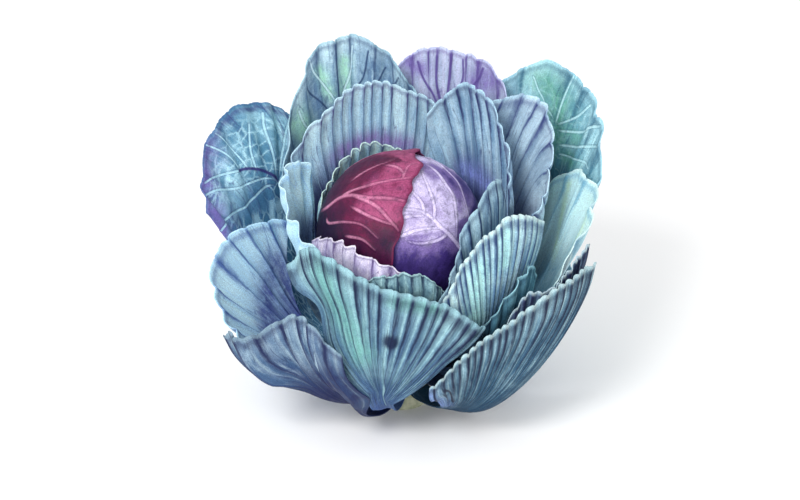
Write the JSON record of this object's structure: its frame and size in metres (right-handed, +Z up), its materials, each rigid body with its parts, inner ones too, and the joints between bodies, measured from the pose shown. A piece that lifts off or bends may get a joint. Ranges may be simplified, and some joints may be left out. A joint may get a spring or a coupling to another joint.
{
  "type": "cabbage head",
  "caption": "Round head of tightly closed leaves in a wide rosette of open, pleated outer leaves, standing on its cut stalk.",
  "frame": {"origin": "centre of the flat cut face under the stalk", "axes": "+Z up through the stalk and the head, -Y towards the viewer of the picture, +X to the viewer's right"},
  "size_m": [0.3517, 0.2753, 0.2922],
  "materials": {
    "stalk": "pale woody cut",
    "heart": "smooth, waxy",
    "head_leaf_violet": "smooth, waxy",
    "head_leaf_red": "smooth, waxy",
    "head_leaf_lilac": "matt, waxy bloom",
    "collar_leaf_front": "matt, waxy bloom",
    "collar_leaf_back": "matt, waxy bloom",
    "leaf_right_inner": "matt, waxy bloom",
    "leaf_left_inner": "matt, waxy bloom",
    "leaf_back_right_inner": "matt, waxy bloom",
    "leaf_back_left_inner": "matt, waxy bloom",
    "leaf_right_upright": "matt, waxy bloom",
    "leaf_right_fan": "matt, waxy bloom",
    "leaf_right_middle": "matt, waxy bloom",
    "leaf_right": "matt, waxy bloom",
    "leaf_back_left_tall": "matt, waxy bloom",
    "leaf_back_violet": "matt, waxy bloom",
    "leaf_right_back_green": "matt, waxy bloom",
    "leaf_front": "matt, waxy bloom",
    "leaf_left_front": "matt, waxy bloom",
    "leaf_left_round": "matt, waxy bloom",
    "leaf_left_low": "matt, waxy bloom",
    "leaf_right_low_inner": "matt, waxy bloom",
    "leaf_right_low": "matt, waxy bloom",
    "leaf_back_left_low": "matt, waxy bloom",
    "leaf_right_back_low": "matt, waxy bloom",
    "leaf_back_right_low": "matt, waxy bloom"
  },
  "bodies": {
    "root": {"stalk": "stalk", "heart": "heart", "head_leaf_violet": "head_leaf_violet", "head_leaf_red": "head_leaf_red", "head_leaf_lilac": "head_leaf_lilac", "collar_leaf_front": "collar_leaf_front", "collar_leaf_back": "collar_leaf_back", "leaf_right_inner": "leaf_right_inner", "leaf_left_inner": "leaf_left_inner", "leaf_back_right_inner": "leaf_back_right_inner", "leaf_back_left_inner": "leaf_back_left_inner", "leaf_right_upright": "leaf_right_upright", "leaf_right_fan": "leaf_right_fan", "leaf_right_middle": "leaf_right_middle", "leaf_right": "leaf_right", "leaf_back_left_tall": "leaf_back_left_tall", "leaf_back_violet": "leaf_back_violet", "leaf_right_back_green": "leaf_right_back_green", "leaf_front": "leaf_front", "leaf_left_front": "leaf_left_front", "leaf_left_round": "leaf_left_round", "leaf_left_low": "leaf_left_low", "leaf_right_low_inner": "leaf_right_low_inner", "leaf_right_low": "leaf_right_low", "leaf_back_left_low": "leaf_back_left_low", "leaf_right_back_low": "leaf_right_back_low", "leaf_back_right_low": "leaf_back_right_low"}
  },
  "joints": []
}
